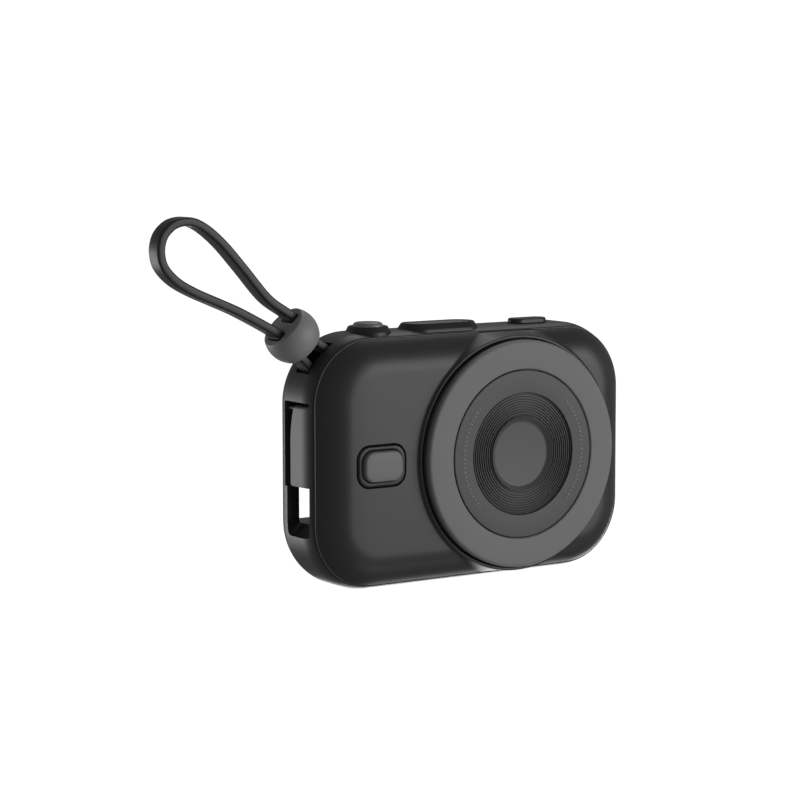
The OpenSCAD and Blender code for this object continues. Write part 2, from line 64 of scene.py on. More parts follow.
SHELL_HIGH = node_box("rear_shell")[1]
RING_LOW, RING_HIGH = node_box("pad_ring")
PAD_X = (RING_LOW.x + RING_HIGH.x) / 2
MID_Z = SHELL_HIGH.z / 2
BACK_Y = SHELL_HIGH.y
PAD_FRONT = RING_LOW.y
PAD_R = (RING_HIGH.x - RING_LOW.x) / 2
LIP_Y = node_box("front_shell")[0].y
LIP_PROUD = 0.7
FACE_Y = LIP_Y + LIP_PROUD
SEAM_DEPTH = 5.0
SEAM_Y = FACE_Y + SEAM_DEPTH
HALF_W = SHELL_HIGH.x
HALF_H = MID_Z
TOP_Z = SHELL_HIGH.z

# Places and clearances shared with the CAD nodes, in millimetres.
KEY_HOLE = (14.3, 10.6)
OVAL_GAP = 0.3
BASE_SEATS = [(x, y) for x in (-26, 26) for y in (0.5, 6)]
SLOT_Y = (-3.25, 6.05)
SLOT_BACK = 7.1
SLOT_FLOOR = -42.8
SLOT_WALL = 1.4
SOCKET_DEPTH = -40.0
STRAP_Y = 2.0
STRAP_HALF = 3.0
STRAP_ANGLE = math.radians(42)
BEAD_PLACE = 12.5
PLATE_DEPTH = 0.12
GROOVE_DEPTH = 0.62


# ---- settings ----


def millimetres(name, text, value):
    """Length property in millimetres."""
    return bpy.props.FloatProperty(name=name, description=text, default=value)


class BodySizes(bpy.types.PropertyGroup):
    """Sizes of the two shells, in millimetres."""

    corner: millimetres("Corner radius", "Corner radius from the front", 17.3)
    front_round: millimetres("Front rounding", "Rounding of the front edge", 9.4)
    back_round: millimetres("Back rounding", "Rounding of the back edge", 6.2)
    wall: millimetres("Wall", "Thickness of the shells", 1.6)
    seam: millimetres("Seam", "Width of the gap between the shells", 0.14)


class PadSizes(bpy.types.PropertyGroup):
    """Sizes of the charging pad, in millimetres."""

    well: millimetres("Well", "Gap round the pad", 0.36)
    lip: millimetres("Lip", "Width of the collar's lip", 0.8)
    ring_in: millimetres("Ring", "Inner radius of the soft ring", 21.4)
    grooves_out: millimetres("Grooves out", "Outer radius of the grooves", 15.4)
    grooves_in: millimetres("Grooves in", "Inner radius of the grooves", 9.6)
    grooves: bpy.props.IntProperty(
        name="Grooves", description="Number of ridges", default=9, min=3, max=14
    )


class StrapSizes(bpy.types.PropertyGroup):
    """Sizes of the strap and bead, in millimetres."""

    width: millimetres("Width", "Width of the flat band", 4.9)
    thick: millimetres("Thickness", "Thickness of the flat band", 2.15)
    bead: millimetres("Bead", "Largest radius of the bead", 6.75)
    bead_in: millimetres("Inner end", "From the bead's middle to its inner end", 4.4)
    bead_out: millimetres("Outer end", "From the bead's middle to its outer end", 3.4)
    gap: millimetres("Run gap", "Distance of each run from the bead's axis", 2.85)


def colour(name, text, value):
    """Colour property with a default."""
    return bpy.props.FloatVectorProperty(
        name=name, description=text, subtype="COLOR", size=4, default=(*value, 1.0), min=0, max=1
    )


class Finishes(bpy.types.PropertyGroup):
    """Colours of the visible finishes."""

    shell: colour("Shell", "Charcoal moulding", (0.03, 0.03, 0.031))
    ring: colour("Ring", "Soft ring of the pad", (0.215, 0.215, 0.218))
    plate: colour("Plate", "Inner plate of the pad", (0.085, 0.085, 0.087))
    key: colour("Key", "Front button", (0.19, 0.19, 0.193))
    cap: colour("Cap", "Shutter cap", (0.26, 0.26, 0.262))
    trim: colour("Trim", "Black trim", (0.016, 0.016, 0.017))
    strap: colour("Strap", "Strap", (0.022, 0.022, 0.023))
    bead: colour("Bead", "Bead", (0.27, 0.27, 0.273))


# ---- mesh helpers ----


def add_object(name, mesh):
    """Links a mesh as a new object and smooths its faces."""
    obj = bpy.data.objects.new(name, mesh)
    bpy.context.scene.collection.objects.link(obj)
    mesh.polygons.foreach_set("use_smooth", [True] * len(mesh.polygons))
    return obj


def mesh_from(name, points, faces):
    """Object from points in millimetres and faces, its normals turned outwards."""
    mesh = bpy.data.meshes.new(name)
    mesh.from_pydata([(x * MM, y * MM, z * MM) for x, y, z in points], [], faces)
    mesh.update()
    work = bmesh.new()
    work.from_mesh(mesh)
    bmesh.ops.recalc_face_normals(work, faces=work.faces)
    work.to_mesh(mesh)
    work.free()
    return add_object(name, mesh)


def loft(name, rings, closed=False):
    """Skin over rings of equal length: capped by a pole at each end, or closed into a loop."""
    count = len(rings[0])
    points = [p for ring in rings for p in ring]
    faces = []
    last = len(rings) if closed else len(rings) - 1
    for i in range(last):
        a = i * count
        b = (i + 1) % len(rings) * count
        for k in range(count):
            n = (k + 1) % count
            faces.append((a + k, a + n, b + n, b + k))
    if not closed:
        for base in (0, (len(rings) - 1) * count):
            ring = points[base : base + count]
            centre = tuple(sum(p[i] for p in ring) / count for i in range(3))
            points.append(centre)
            pole = len(points) - 1
            faces += [(base + k, base + (k + 1) % count, pole) for k in range(count)]
    return mesh_from(name, points, faces)


def arc(cx, cy, r, start, end, steps):
    """Points of an arc, angles in degrees."""
    turn = [math.radians(start + (end - start) * i / steps) for i in range(steps + 1)]
    return [(cx + r * math.cos(t), cy + r * math.sin(t)) for t in turn]


def turned(name, profile, centre, axis="y", sides=192):
    """Turns a closed profile of (radius, height) points about an axis through centre."""
    rings = []
    for i in range(sides):
        t = 2 * math.pi * i / sides
        c, s = math.cos(t), math.sin(t)
        if axis == "y":
            rings.append([(centre[0] + r * c, h, centre[2] + r * s) for r, h in profile])
        else:
            rings.append([(centre[0] + r * c, centre[1] + r * s, h) for r, h in profile])
    return loft(name, rings, closed=True)


def turned_solid(name, profile, centre, axis="y", sides=192):
    """Turns an open profile, its ends near the axis closed by poles."""
    rings = []
    for r, h in profile:
        ring = []
        for i in range(sides):
            t = 2 * math.pi * i / sides
            u, v = r * math.cos(t), r * math.sin(t)
            if axis == "y":
                ring.append((centre[0] + u, h, centre[2] + v))
            else:
                ring.append((centre[0] + u, centre[1] + v, h))
        rings.append(ring)
    return loft(name, rings)


def ring_profile(r0, r1, front, back, e0, e1, steps=8):
    """Closed profile of a ring whose two front edges are rounded."""
    mid = (r0 + r1) / 2
    points = [(r0, back)]
    points += arc(r0 + e0, front + e0, e0, 180, 270, steps)
    points += [(mid, front)]
    points += arc(r1 - e1, front + e1, e1, 270, 360, steps)
    points += [(r1, back)]
    return points


def rounded_outline(w, h, r, per_corner=16, per_side=1):
    """Outline of a rectangle with round corners, anticlockwise from the right side's foot."""
    r = max(min(r, w / 2 - 1e-4, h / 2 - 1e-4), 1e-3)
    points = []
    x, y = w / 2 - r, h / 2 - r
    corners = [(x, y, 0), (-x, y, 90), (-x, -y, 180), (x, -y, 270)]
    for index, (cx, cy, start) in enumerate(corners):
        here = arc(cx, cy, r, start, start + 90, per_corner)
        points += here
        nx, ny, nstart = corners[(index + 1) % 4]
        after = arc(nx, ny, r, nstart, nstart, 1)[0]
        for k in range(1, per_side):
            f = k / per_side
            points.append(tuple(p + (q - p) * f for p, q in zip(here[-1], after)))
    return points


def outline_at(cu, cv, w, h, r, per_corner=16):
    """Outline of a rectangle with round corners about a centre."""
    return [(cu + u, cv + v) for u, v in rounded_outline(w, h, r, per_corner)]


def pillow(name, centre, w, h, r, levels, facing):
    """Block with a rounded outline and a list of (inset, depth) levels; facing is front or top."""
    rings = []
    for inset, depth in levels:
        outline = outline_at(*centre, w - 2 * inset, h - 2 * inset, r - inset)
        if facing == "front":
            rings.append([(u, depth, v) for u, v in outline])
        else:
            rings.append([(u, v, depth) for u, v in outline])
    return loft(name, rings)


def edge_levels(top, bottom, radius, sign, crown=0.0, steps=6, flat=3.0):
    """Levels of a block with a rounded upper edge; sign is the direction from top to bottom."""
    levels = [(flat, top - sign * crown)] if crown else [(flat, top)]
    for i in range(steps + 1):
        t = math.radians(90 * i / steps)
        levels.append((radius * (1 - math.sin(t)), top + sign * radius * (1 - math.cos(t))))
    levels.append((0.0, bottom))
    return levels


def cut(target, cutter, how="DIFFERENCE"):
    """Applies an exact boolean and removes the cutter."""
    mod = target.modifiers.new("cut", "BOOLEAN")
    mod.operation = how
    mod.object = cutter
    mod.solver = "EXACT"
    bake_modifiers(target)
    bpy.data.objects.remove(cutter)


def bake_modifiers(obj):
    """Turns an object and its modifiers into a plain mesh."""
    deps = bpy.context.evaluated_depsgraph_get()
    mesh = bpy.data.meshes.new_from_object(obj.evaluated_get(deps))
    obj.modifiers.clear()
    old = obj.data
    obj.data = mesh
    bpy.data.meshes.remove(old)


def prism(name, outline, low, high, axis, flare=0.0, flare_at="low", depth=0.3):
    """Closed prism along an axis through an outline, with one mouth flared for a soft edge."""

    def place(u, v, d):
        if axis == "x":
            return (d, u, v)
        if axis == "y":
            return (u, d, v)
        return (u, v, d)

    rings = []
    levels = [(low, 0.0), (high, 0.0)]
    if flare:
        edge = low if flare_at == "low" else high
        step = depth if flare_at == "low" else -depth
        opened = [(edge, flare), (edge + step, 0.0)]
        levels = opened + [(high, 0.0)] if flare_at == "low" else [(low, 0.0)] + opened[::-1]
    cu = sum(p[0] for p in outline) / len(outline)
    cv = sum(p[1] for p in outline) / len(outline)
    for d, grow in levels:
        ring = []
        for u, v in outline:
            length = math.hypot(u - cu, v - cv)
            k = 1 + grow / length
            ring.append(place(cu + (u - cu) * k, cv + (v - cv) * k, d))
        rings.append(ring)
    return loft(name, rings)


def shade(obj, degrees=35):
    """Keeps edges sharper than the angle sharp."""
    obj.data.set_sharp_from_angle(angle=math.radians(degrees))


# ---- materials ----


def new_group(name, inputs, outputs):
    """Empty shader group with named sockets."""
    tree = bpy.data.node_groups.new(name, "ShaderNodeTree")
    for label, kind, value in inputs:
        socket = tree.interface.new_socket(label, in_out="INPUT", socket_type="NodeSocket" + kind)
        socket.default_value = value
    for label, kind in outputs.items():
        tree.interface.new_socket(label, in_out="OUTPUT", socket_type="NodeSocket" + kind)
    return tree, tree.nodes.new("NodeGroupInput"), tree.nodes.new("NodeGroupOutput")


def maths(tree, operation, *values):
    """Math node fed by sockets or plain numbers; gives its output."""
    node = tree.nodes.new("ShaderNodeMath")
    node.operation = operation
    for slot, value in zip(node.inputs, values):
        if isinstance(value, (int, float)):
            slot.default_value = value
        else:
            tree.links.new(value, slot)
    return node.outputs[0]


def moulding_grain():
    """Fine spark-eroded grain: a height, and a slow drift of colour and roughness."""
    tree, source, sink = new_group(
        "moulding_grain",
        [
            ("Colour", "Color", (0.1, 0.1, 0.1, 1)),
            ("Grain size", "Float", 4200.0),
            ("Drift", "Float", 0.06),
            ("Roughness", "Float", 0.55),
        ],
        {"Colour": "Color", "Roughness": "Float", "Height": "Float"},
    )
    nodes, links = tree.nodes, tree.links
    place = nodes.new("ShaderNodeTexCoord")
    grain = nodes.new("ShaderNodeTexNoise")
    grain.inputs["Detail"].default_value = 2.0
    links.new(place.outputs["Object"], grain.inputs["Vector"])
    links.new(source.outputs["Grain size"], grain.inputs["Scale"])
    slow = nodes.new("ShaderNodeTexNoise")
    slow.inputs["Scale"].default_value = 55.0
    slow.inputs["Detail"].default_value = 3.0
    links.new(place.outputs["Object"], slow.inputs["Vector"])
    centred = maths(tree, "SUBTRACT", slow.outputs["Fac"], 0.5)
    amount = maths(tree, "MULTIPLY", centred, source.outputs["Drift"])
    factor = maths(tree, "ADD", amount, 1.0)
    tint = nodes.new("ShaderNodeVectorMath")
    tint.operation = "SCALE"
    links.new(source.outputs["Colour"], tint.inputs[0])
    links.new(factor, tint.inputs["Scale"])
    links.new(tint.outputs["Vector"], sink.inputs["Colour"])
    rough = maths(tree, "MULTIPLY", source.outputs["Roughness"], factor)
    links.new(rough, sink.inputs["Roughness"])
    links.new(grain.outputs["Fac"], sink.inputs["Height"])
    return tree


GROUPS = {}
MADE = {}


def grain_group():
    """The shared grain group, built once."""
    if "grain" not in GROUPS:
        GROUPS["grain"] = moulding_grain()
    return GROUPS["grain"]


def finish(
    name, base, rough, grain=4200.0, bump=0.05, drift=0.06, metal=0.0, coat=0.0, sheen=0.0
):
    """Material of moulded plastic, silicone or metal with its own grain."""
    if name in MADE:
        return MADE[name]
    material = bpy.data.materials.new(name)
    MADE[name] = material
    material.use_nodes = True
    nodes, links = material.node_tree.nodes, material.node_tree.links
    shader = nodes["Principled BSDF"]
    shader.inputs["Metallic"].default_value = metal
    shader.inputs["Coat Weight"].default_value = coat
    shader.inputs["Coat Roughness"].default_value = 0.25
    shader.inputs["Sheen Weight"].default_value = sheen
    shader.inputs["Sheen Roughness"].default_value = 0.5
    texture = nodes.new("ShaderNodeGroup")
    texture.node_tree = grain_group()
    texture.inputs["Colour"].default_value = (*base[:3], 1)
    texture.inputs["Grain size"].default_value = grain
    texture.inputs["Drift"].default_value = drift
    texture.inputs["Roughness"].default_value = rough
    links.new(texture.outputs["Colour"], shader.inputs["Base Color"])
    links.new(texture.outputs["Roughness"], shader.inputs["Roughness"])
    relief = nodes.new("ShaderNodeBump")
    relief.inputs["Strength"].default_value = bump
    relief.inputs["Distance"].default_value = 0.0001
    links.new(texture.outputs["Height"], relief.inputs["Height"])
    links.new(relief.outputs["Normal"], shader.inputs["Normal"])
    return material


def dress(obj, material):
    """Gives an object one material."""
    obj.data.materials.clear()
    obj.data.materials.append(material)


def settle(obj, body, slot, material, *nodes):
    """Dresses a piece, lets it ride on its body and stand for CAD nodes."""
    dress(obj, material)
    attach(obj, body)
    if nodes:
        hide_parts(*nodes)
    return obj


# ---- the body's form ----


def outline_distance(x, z, corner):
    """Distance inside the body's widest outline; negative outside. Centre at 0, 0."""
    qx = abs(x) - (HALF_W - corner)
    qz = abs(z) - (HALF_H - corner)
    outside = math.hypot(max(qx, 0), max(qz, 0))
    inside = min(max(qx, qz), 0)
    return corner - outside - inside


def fall(inset, radius):
    """Depth of a rounded edge below its face, at a distance inside the outline."""
    if inset >= radius:
        return 0.0
    inset = max(inset, 0.0)
    return radius - math.sqrt(max(radius**2 - (radius - inset) ** 2, 0.0))


def side_fall(x):
    """Slow fall of the front face towards its left and right ends."""
    depth, run, power = 1.8, 17.0, 2.4
    inset = HALF_W - abs(x)
    return depth * max(0.0, 1 - inset / run) ** power


def reach(angle, inset, corner):
    """Distance from the pad's centre to the outline drawn in by inset, along an angle."""
    c, s = math.cos(angle), math.sin(angle)
    low, high = 5.0, 120.0
    for _ in range(40):
        mid = (low + high) / 2
        if outline_distance(PAD_X + mid * c, mid * s, corner) > inset:
            low = mid
        else:
            high = mid
    return low


def front_section(angle, body, pad):
    """Closed section of the front shell along one ray from the pad's centre."""
    c, s = math.cos(angle), math.sin(angle)
    rise = body.front_round - SEAM_DEPTH
    rim_inset = body.front_round - math.sqrt(body.front_round**2 - rise**2)
    r_well = PAD_R + pad.well
    r_lip = r_well + pad.lip
    r_out = reach(angle, rim_inset, body.corner)

    def face(r):
        x, z = PAD_X + r * c, r * s
        slow = side_fall(x)
        edge = fall(outline_distance(x, z, body.corner), body.front_round)
        return FACE_Y + slow + edge * (1 - slow / SEAM_DEPTH)

    seat = FACE_Y + 1.2
    points = [(6.0, seat), (r_well - 0.3, seat), (r_well, seat - 0.1)]
    points += [(r_well, LIP_Y + 0.3), (r_well + 0.03, LIP_Y + 0.14)]
    points += [(r_well + 0.1, LIP_Y + 0.04), (r_well + 0.22, LIP_Y)]
    points += [(r_lip - 0.34, LIP_Y), (r_lip - 0.2, LIP_Y + 0.02), (r_lip - 0.08, LIP_Y + 0.09)]
    drop = face(r_lip) - LIP_Y
    width = min(0.45 + 0.42 * drop, r_out - r_lip)
    steps = 16
    for i in range(steps + 1):
        t = (i / steps) ** 1.8
        r = r_lip + width * t
        y = face(r) - (face(r) - LIP_Y - 0.14) * (1 - t) ** 2.6
        points.append((r, y))
    start = r_lip + width
    steps = 44
    for i in range(1, steps + 1):
        t = i / steps
        r = start + (r_out - start) * (1 - (1 - t) ** 1.9)
        points.append((r, min(face(r), SEAM_Y - 0.34)))
    half = body.seam / 2
    points.append((r_out - 0.01, SEAM_Y - half - 0.24))
    points.append((r_out - 0.06, SEAM_Y - half - 0.12))
    points.append((r_out - 0.16, SEAM_Y - half))
    inner = r_out - body.wall
    points.append((inner, SEAM_Y - half))
    for t in (0.75, 0.5, 0.25):
        r = max(inner - (1 - t) * 14, r_well + 0.6)
        points.append((min(r, inner - 0.1), max(face(r) + body.wall, seat + 1.2)))
    points.append((min(r_well, inner - 0.5), seat + 1.25))
    points.append((6.0, seat + 1.2))
    return [(PAD_X + r * c, y, MID_Z + r * s) for r, y in points]


def body_ring(inset, y, corner):
    """Ring of the body's outline drawn in by inset, at depth y."""
    w, h = 2 * (HALF_W - inset), 2 * (HALF_H - inset)
    outline = rounded_outline(w, h, corner - inset, per_corner=40, per_side=26)
    return [(u, y, MID_Z + v) for u, v in outline]


class BuildShells(bpy.types.Operator):
    """Build the front and rear shells with their slot, pocket and openings"""

    bl_idname = "powerbank.shells"
    bl_label = "Shells"

    def execute(self, context):
        scene = context.scene
        body, pad, look = scene.bank_body, scene.bank_pad, scene.bank_finishes
        skin = finish("charcoal_moulding", look.shell, 0.4, bump=0.05)
        sides = 420
        rings = [front_section(2 * math.pi * i / sides, body, pad) for i in range(sides)]
        front = loft("front_shell_skin", rings, closed=True)
        low, high = node_box("front_button_bezel")
        cx, cz = (low.x + high.x) / 2, (low.z + high.z) / 2
        hole = outline_at(cx, cz, *KEY_HOLE, 3.6, 14)
        cut(front, prism("key_hole", hole, FACE_Y - 0.02, FACE_Y + 4, "y", flare=0.16, depth=0.2))
        shade(front, 40)
        settle(front, "root", "body_matte", skin, "front_shell")

        rear = self.rear_shell(body)
        shade(rear, 40)
        settle(rear, "root", "body_matte", skin, "rear_shell")
        return {"FINISHED"}

    def rear_shell(self, body):
        """Cup of the rear shell, then its slot, window, pocket and bridge."""
        start = SEAM_Y + body.seam / 2
        rise = body.front_round - (start - FACE_Y)
        first_turn = math.asin(rise / body.front_round)
        first = body.front_round * (1 - math.cos(first_turn))
        rings = [
            body_ring(first + 0.12, start, body.corner),
            body_ring(first, start + 0.1, body.corner),
        ]
        steps = 12
        for i in range(1, steps + 1):
            t = first_turn * (1 - i / steps)
            y = FACE_Y + body.front_round * (1 - math.sin(t))
            inset = body.front_round * (1 - math.cos(t))
            rings.append(body_ring(inset, max(y, start + 0.2), body.corner))
        belt = (FACE_Y + body.front_round + BACK_Y - body.back_round) / 2
        rings.append(body_ring(0, belt, body.corner))
        steps = 16
        for i in range(steps + 1):
            t = math.radians(90 * i / steps)
            inset = body.back_round * (1 - math.cos(t))
            y = BACK_Y - body.back_round * (1 - math.sin(t))
            rings.append(body_ring(inset, y, body.corner))
        for inset in (9.0, 14.0):
            rings.append(body_ring(inset, BACK_Y, body.corner))
        outer = loft("rear_shell_skin", rings)
        inner = [body_ring(body.wall + first, start - 1, body.corner)]
        inner.append(body_ring(body.wall, FACE_Y + body.front_round, body.corner))
        r = body.back_round - body.wall
        for i in range(7):
            t = math.radians(90 * i / 6)
            y = BACK_Y - body.wall - r * (1 - math.sin(t))
            inner.append(body_ring(body.wall + r * (1 - math.cos(t)), y, body.corner))
        cut(outer, loft("hollow", inner))
        self.slot(outer, body)
        self.pocket(outer, body)
        low, high = node_box("oval_button")
        cx, cy = (low.x + high.x) / 2, (low.y + high.y) / 2
        l, w = high.x - low.x + OVAL_GAP, high.y - low.y + OVAL_GAP
        mouth = outline_at(cx, cy, l, w, w / 2, 20)
        soft = {"flare": 0.12, "flare_at": "high", "depth": 0.2}
        cut(outer, prism("oval_mouth", mouth, TOP_Z - 3, TOP_Z + 0.1, "z", **soft))
        seat = [(0.02, 0.6), (1.32, 0.6), (1.32, 0.2), (1.6, -0.1), (1.6, -1), (0.02, -1)]
        for x, y in BASE_SEATS:
            cut(outer, turned_solid("seat", seat, (x, y, 0), "z", 48))
        return outer

    def slot(self, shell, body):
        """Pod round the side slot, the slot itself, its scoop and the window to the back."""
        (y0, y1), back = SLOT_Y, SLOT_BACK
        mid, width = (y0 + y1) / 2, y1 - y0
        inside = [body_ring(1.35, SEAM_Y + 0.2, body.corner), body_ring(0.3, -0.1, body.corner)]
        inside += [body_ring(0.3, 6.3, body.corner), body_ring(2.6, BACK_Y - 1.0, body.corner)]
        for bottom, end, rear, top in (
            (12.0, -34.6, BACK_Y - 1.1, 27.7),
            (26.0, SLOT_FLOOR + SLOT_WALL, back + SLOT_WALL, 48.6),
        ):
            pod = box_mesh("pod", (-HALF_W, y0 - SLOT_WALL, bottom), (end, rear, top))
            cut(pod, loft("inside", inside), "INTERSECT")
            cut(shell, pod, "UNION")
        outline = outline_at(mid, 22.2, width, 10.8, 0.3, 4)
        side = (-HALF_W - 0.01, SLOT_FLOOR, "x")
        cut(shell, prism("slot", outline, *side, flare=0.15, depth=0.15))
        outline = outline_at((back + y0) / 2, 36.75, back - y0, 20.9, 0.35, 4)
        cut(shell, prism("recess", outline, *side, flare=0.15, depth=0.15))
        cut(shell, box_mesh("deep", (-43.6, y0, 16.8), (-36.0, y1, 26.3)))
        cut(shell, turned_scoop("scoop", -HALF_W - 1.5, 19.7, 6.0, y0, y1))
        outline = outline_at(-40.05, 21.55, 8.1, 9.5, 0.6, 5)
        soft = {"flare": 0.25, "flare_at": "high", "depth": 0.25}
        cut(shell, prism("window", outline, mid, BACK_Y + 0.01, "y", **soft))
        port_low, port_high = node_box("usb_socket_shell")
        centre = (port_low + port_high) / 2
        outline = outline_at(centre.y, centre.z, 3.5, 9.2, 1.35, 8)
        cut(shell, prism("port", outline, -43.5, SOCKET_DEPTH, "x"))

    def pocket(self, shell, body):
        """Corner pocket for the strap, with the bridge that the strap goes round."""
        bx, bz = bridge_centre(body.corner)
        y0, y1 = STRAP_Y - STRAP_HALF, STRAP_Y + STRAP_HALF
        block = disc_y("block", bx, bz, 6.4, y0 - 1.4, y1 + 1.4, 48)
        keep = [body_ring(0.4, y, body.corner) for y in (FACE_Y + 6.6, BACK_Y - 6.6)]
        cut(block, loft("keep", keep), "INTERSECT")
        cut(shell, block, "UNION")
        cut(shell, pocket_cutter("pocket", bx, bz, 5.0, y0, y1))
        bridge = disc_y("bridge", bx, bz, 2.3, y0 - 0.6, y1 + 0.6, 64)
        cut(shell, bridge, "UNION")


def bridge_centre(corner):
    """Centre of the strap's bridge, in X and Z."""
    arm = (corner - 4.7) * math.cos(math.radians(45))
    return -(HALF_W - corner) - arm, TOP_Z - corner + arm


def on_strap(bx, bz, along, across):
    """Point at a distance along the strap's axis from the bridge, and across it."""
    c, s = math.cos(STRAP_ANGLE), math.sin(STRAP_ANGLE)
    return bx - along * c + across * s, bz + along * s + across * c


def box_mesh(name, low, high):
    """Plain block used as a cutter or a core."""
    (x0, y0, z0), (x1, y1, z1) = low, high
    rings = [[(x0, y0, z), (x1, y0, z), (x1, y1, z), (x0, y1, z)] for z in (z0, z1)]
    return loft(name, rings)


def disc_y(name, x, z, r, y0, y1, sides):
    """Disc along Y used as a cutter or a core."""
    outline = [(x + u, z + v) for u, v in arc(0, 0, r, 0, 360, sides)[:-1]]
    return prism(name, outline, y0, y1, "y")


def turned_scoop(name, x, z, r, y0, y1):
    """Rounded trough that ends the slot, its long edges rounded too."""
    rings = []
    soft = 1.2
    for i in range(7):
        t = math.radians(90 * i / 6)
        rings.append((r - soft * (1 - math.sin(t)), y0 + soft * (1 - math.cos(t))))
    mirrored = [(radius, y0 + y1 - y) for radius, y in reversed(rings)]
    shape = []
    for radius, y in rings + mirrored:
        shape.append([(x + u, y, z + v) for u, v in arc(0, 0, radius, 0, 360, 64)[:-1]])
    return loft(name, shape)


def pocket_cutter(name, bx, bz, r, y0, y1):
    """Slot round the bridge, open along the strap's axis, its mouth a little wider."""
    outline = []
    for i in range(25):
        t = math.radians(90 + 180 * i / 24)
        outline.append((r * math.cos(t), r * math.sin(t)))
    outline += [(9.5, -r), (9.5, r)]
    spots = [on_strap(bx, bz, along, across) for along, across in outline]
    return loft(name, [[(x, y, z) for x, z in spots] for y in (y0, y1)])


# ---- charging pad ----


class BuildPad(bpy.types.Operator):
    """Build the charging pad's carrier, rings, ridges and dish"""

    bl_idname = "powerbank.pad"
    bl_label = "Charging pad"

    def execute(self, context):
        scene = context.scene
        pad, look = scene.bank_pad, scene.bank_finishes
        centre = (PAD_X, 0, MID_Z)
        step = PAD_FRONT + 1.5
        back = node_box("pad_carrier")[1].y
        profile = [(3.0, back), (3.0, step), (PAD_R - 0.5, step), (PAD_R - 0.24, step + 0.08)]
        profile += [(PAD_R - 0.15, step + 0.3), (PAD_R - 0.15, back - 1.0), (PAD_R - 0.75, back)]
        carrier = turned("pad_carrier_body", profile, centre, sides=256)
        shade(carrier, 30)
        black = finish("carrier_satin", look.plate, 0.4, bump=0.03)
        settle(carrier, "root", "carrier_black", black, "pad_carrier")

        foot = step - 0.02
        soft = ring_profile(pad.ring_in, PAD_R, PAD_FRONT, foot, 0.42, 0.85, steps=10)
        ring = turned("pad_soft_ring", soft, centre, sides=256)
        shade(ring, 50)
        silicone = finish("ring_silicone", look.ring, 0.6, grain=3000, bump=0.04, sheen=0.15)
        settle(ring, "root", "pad_silicone", silicone, "pad_ring")

        r0, r1 = pad.grooves_out + 0.06, pad.ring_in - 0.22
        plate = ring_profile(r0, r1, PAD_FRONT + PLATE_DEPTH, foot, 0.2, 0.3)
        plate = turned("pad_inner_plate", plate, centre, sides=256)
        shade(plate, 50)
        satin = finish("plate_moulding", look.plate, 0.5, grain=4200, bump=0.04)
        settle(plate, "root", "pad_plate_matte", satin, "pad_plate")

        self.ridges(pad, foot)
        self.ticks(pad)

        floor = pad.grooves_in - 1.3
        rim = pad.grooves_in
        profile = [(0.02, 1.32), (floor - 0.5, 1.32), (floor - 0.1, 1.28), (floor + 0.15, 1.15)]
        profile += [(rim - 0.4, 0.38), (rim - 0.2, 0.27), (rim - 0.07, 0.33)]
        profile = [(r, PAD_FRONT + depth) for r, depth in profile]
        profile += [(rim - 0.07, foot), (0.02, foot)]
        dish = turned_solid("pad_dish", profile, centre)
        shade(dish, 35)
        middle = finish("dish_moulding", look.plate, 0.45, bump=0.04)
        settle(dish, "root", "dish_matte", middle, "centre_dish")
        return {"FINISHED"}

    def ridges(self, pad, foot):
        """Fine concentric ridges on a black base, repeated by a node tree."""
        face = PAD_FRONT + GROOVE_DEPTH
        base = ring_profile(pad.grooves_in, pad.grooves_out, face, foot, 0.05, 0.05)
        base = turned("groove_base", base, (PAD_X, 0, MID_Z), sides=256)
        shade(base, 40)
        dark = finish("groove_black", (0.006, 0.006, 0.006), 0.4, bump=0.02)
        settle(base, "root", "groove_satin", dark, "groove_ring")
        pitch = (pad.grooves_out - pad.grooves_in) / pad.grooves
        satin = finish("ridge_satin", (0.02, 0.02, 0.021), 0.4, bump=0.02)
        tree = repeated_rings()
        obj = mesh_from("groove_ridges", [(0, 0, 0), (1, 0, 0), (0, 0, 1)], [(0, 1, 2)])
        values = {
            "Count": pad.grooves,
            "First radius": (pad.grooves_in + pitch * 0.5) * MM,
            "Pitch": pitch * MM,
            "Thickness": 0.12 * MM,
            "Centre": (PAD_X * MM, (PAD_FRONT + 0.5) * MM, MID_Z * MM),
            "Material": satin,
        }
        run_tree(obj, tree, values)
        settle(obj, "root", "groove_satin", satin)

    def ticks(self, pad):
        """Two arcs of plain printed ticks on the plate."""
        print_grey = finish("print_grey", (0.26, 0.26, 0.263), 0.55, bump=0.02)
        tree = ticks_on_an_arc()
        for name, middle in (("ticks_left", 180), ("ticks_right", 0)):
            obj = mesh_from(name, [(0, 0, 0), (1, 0, 0), (0, 0, 1)], [(0, 1, 2)])
            values = {
                "Count": 25,
                "Radius": (pad.grooves_out + 2.9) * MM,
                "Start": math.radians(middle - 42),
                "Step": math.radians(3.5),
                "Size": (1.0 * MM, 0.03 * MM, 0.36 * MM),
                "Centre": (PAD_X * MM, (PAD_FRONT + PLATE_DEPTH) * MM, MID_Z * MM),
                "Material": print_grey,
            }
            run_tree(obj, tree, values)
            settle(obj, "root", "pad_plate_matte", print_grey)


def geometry_tree(name, inputs):
    """Empty geometry tree with named inputs."""
    tree = bpy.data.node_groups.new(name, "GeometryNodeTree")
    tree.interface.new_socket("Geometry", in_out="INPUT", socket_type="NodeSocketGeometry")
    for label, kind in inputs.items():
        tree.interface.new_socket(label, in_out="INPUT", socket_type="NodeSocket" + kind)
    tree.interface.new_socket("Geometry", in_out="OUTPUT", socket_type="NodeSocketGeometry")
    return tree, tree.nodes.new("NodeGroupInput"), tree.nodes.new("NodeGroupOutput")


